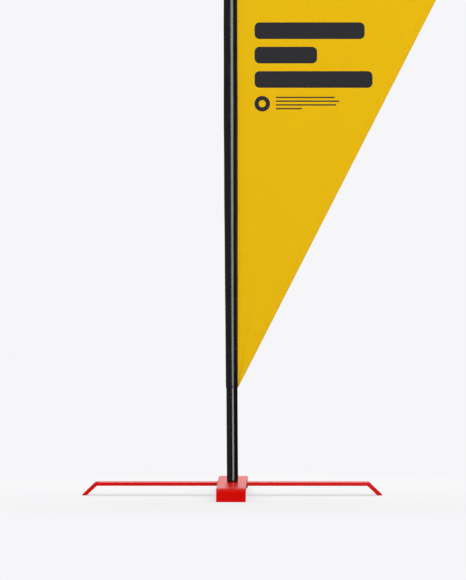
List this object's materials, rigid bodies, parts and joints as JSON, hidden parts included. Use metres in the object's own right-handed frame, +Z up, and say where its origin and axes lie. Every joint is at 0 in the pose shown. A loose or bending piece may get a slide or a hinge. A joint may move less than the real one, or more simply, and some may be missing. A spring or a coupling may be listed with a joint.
{
  "type": "teardrop flag",
  "caption": "Free-standing teardrop flag: a flat-bar steel cross base with a turning spindle, a curved pole in a black sleeve, and a one-piece tensioned sail.",
  "frame": {"origin": "the point on the floor under the spindle, where the four legs' centre lines cross", "axes": "+Z up along the spindle; -Y is the flag's front; +X is the side that the sail reaches out to; the four legs lie along +X, -X, +Y and -Y"},
  "size_m": [1.3111, 0.72, 2.1444],
  "materials": {
    "powder_coat": "gloss",
    "zinc_steel": "satin",
    "nylon": "satin",
    "plain_aluminium": "satin",
    "black_aluminium": "gloss",
    "black_fibreglass": "satin",
    "black_plastic": "satin",
    "sleeve_cloth": "satin",
    "sail_cloth": "matte",
    "webbing": "matte",
    "elastic_cord": "matte"
  },
  "bodies": {
    "base": {"front_rear_leg_bar": "powder_coat", "left_leg_bar": "powder_coat", "right_leg_bar": "powder_coat", "spindle": "zinc_steel", "spindle_washer": "zinc_steel", "spindle_spring_washer": "zinc_steel", "spindle_nut": "zinc_steel"},
    "rotator": {"thrust_washer": "nylon", "rotator_lower_bush": "nylon", "rotator_sleeve": "plain_aluminium", "rotator_upper_bush": "nylon", "pivot_ball": "zinc_steel", "rotator_cap": "nylon"},
    "pole_and_sail": {"pole_foot_ring": "black_plastic", "lower_pole_tube": "black_aluminium", "pole_stop_plug": "nylon", "middle_pole_tube": "black_aluminium", "upper_pole_tube": "black_fibreglass", "tip_rod": "black_fibreglass", "lower_ferrule": "black_plastic", "middle_ferrule": "black_plastic", "upper_ferrule": "black_plastic", "tip_cap": "black_plastic", "pole_sleeve": "sleeve_cloth", "tip_pocket": "webbing", "sail_panel": "sail_cloth", "free_edge_hem": "sail_cloth", "tack_patch": "sail_cloth", "clew_patch": "sail_cloth", "anchor_hook": "zinc_steel", "hook_lower_rivet": "zinc_steel", "hook_upper_rivet": "zinc_steel", "tension_ring": "zinc_steel", "elastic_loop": "elastic_cord", "tension_webbing": "webbing"}
  },
  "joints": [
    {"name": "flag_spin", "type": "hinge", "parent": "base", "child": "rotator", "pos_m": [0, 0, 0.1], "axis": [0, 0, 1], "continuous": true},
    {"name": "pole_lift", "type": "slide", "parent": "rotator", "child": "pole_and_sail", "axis": [0, 0, 1], "range_m": [0, 0.135]}
  ]
}
